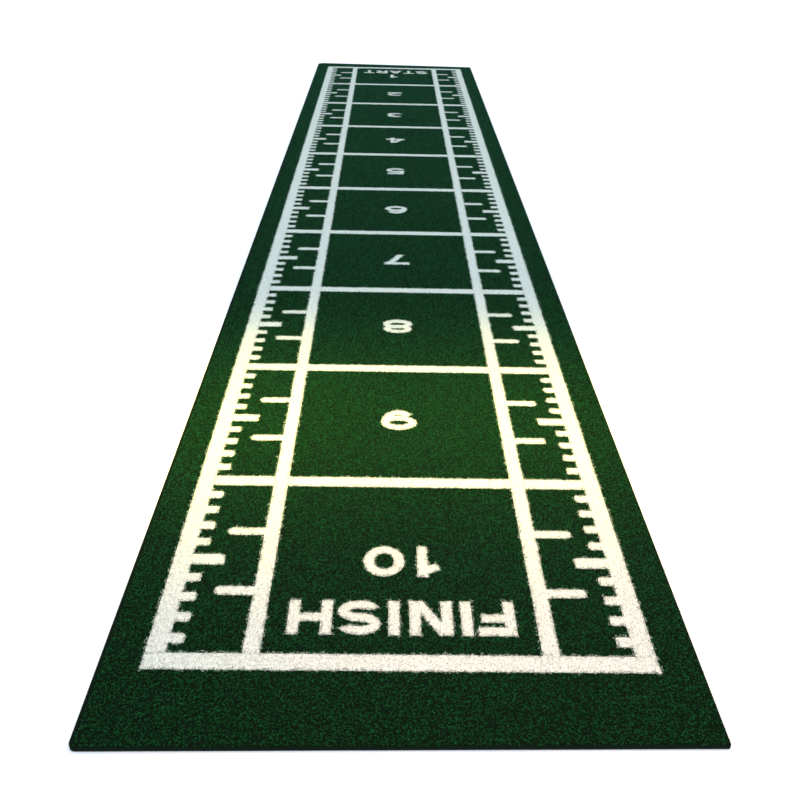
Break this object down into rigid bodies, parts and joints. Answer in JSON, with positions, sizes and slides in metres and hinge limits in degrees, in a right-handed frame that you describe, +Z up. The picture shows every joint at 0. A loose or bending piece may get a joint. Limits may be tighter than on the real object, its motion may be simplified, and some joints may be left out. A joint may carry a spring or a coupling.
{
  "type": "marked turf practice mat",
  "caption": "Long roll-out artificial turf practice mat with a white marked lane, side rules with distance ticks, numbered cells and start and finish ends.",
  "frame": {"origin": "under the middle of the mat, on the floor it lies on", "axes": "+Y along the mat from the finish end to the start end, +X across it, +Z up; the words and numbers read upright from the start end"},
  "size_m": [2, 10.6, 0.0179],
  "materials": {
    "green_pile": "dense short cut pile of dark green polyethylene yarn, matt with a faint sheen",
    "white_pile": "dense short cut pile of warm white polyethylene yarn, matt",
    "latex_backing": "dull latex coat over woven scrim",
    "black_rubber": "black bonded rubber sheet, dull"
  },
  "bodies": {
    "root": {"rubber_underlay": "black_rubber", "latex_backing": "latex_backing", "green_turf_field": "green_pile", "start_line": "white_pile", "finish_line": "white_pile", "left_rule": "white_pile", "right_rule": "white_pile", "left_rail": "white_pile", "right_rail": "white_pile", "bar_1_left": "white_pile", "bar_1_centre": "white_pile", "bar_1_right": "white_pile", "bar_2_left": "white_pile", "bar_2_centre": "white_pile", "bar_2_right": "white_pile", "bar_3_left": "white_pile", "bar_3_centre": "white_pile", "bar_3_right": "white_pile", "bar_4_left": "white_pile", "bar_4_centre": "white_pile", "bar_4_right": "white_pile", "bar_5_left": "white_pile", "bar_5_centre": "white_pile", "bar_5_right": "white_pile", "bar_6_left": "white_pile", "bar_6_centre": "white_pile", "bar_6_right": "white_pile", "bar_7_left": "white_pile", "bar_7_centre": "white_pile", "bar_7_right": "white_pile", "bar_8_left": "white_pile", "bar_8_centre": "white_pile", "bar_8_right": "white_pile", "bar_9_left": "white_pile", "bar_9_centre": "white_pile", "bar_9_right": "white_pile", "start_S": "white_pile", "start_T_first": "white_pile", "start_A": "white_pile", "start_R": "white_pile", "start_T_last": "white_pile", "finish_F": "white_pile", "finish_I_first": "white_pile", "finish_N": "white_pile", "finish_I_last": "white_pile", "finish_S": "white_pile", "finish_H": "white_pile", "number_1": "white_pile", "number_2": "white_pile", "number_3": "white_pile", "number_4": "white_pile", "number_5": "white_pile", "number_6": "white_pile", "number_7": "white_pile", "number_8": "white_pile", "number_9": "white_pile", "number_10_tens": "white_pile", "number_10_units": "white_pile"}
  },
  "joints": []
}
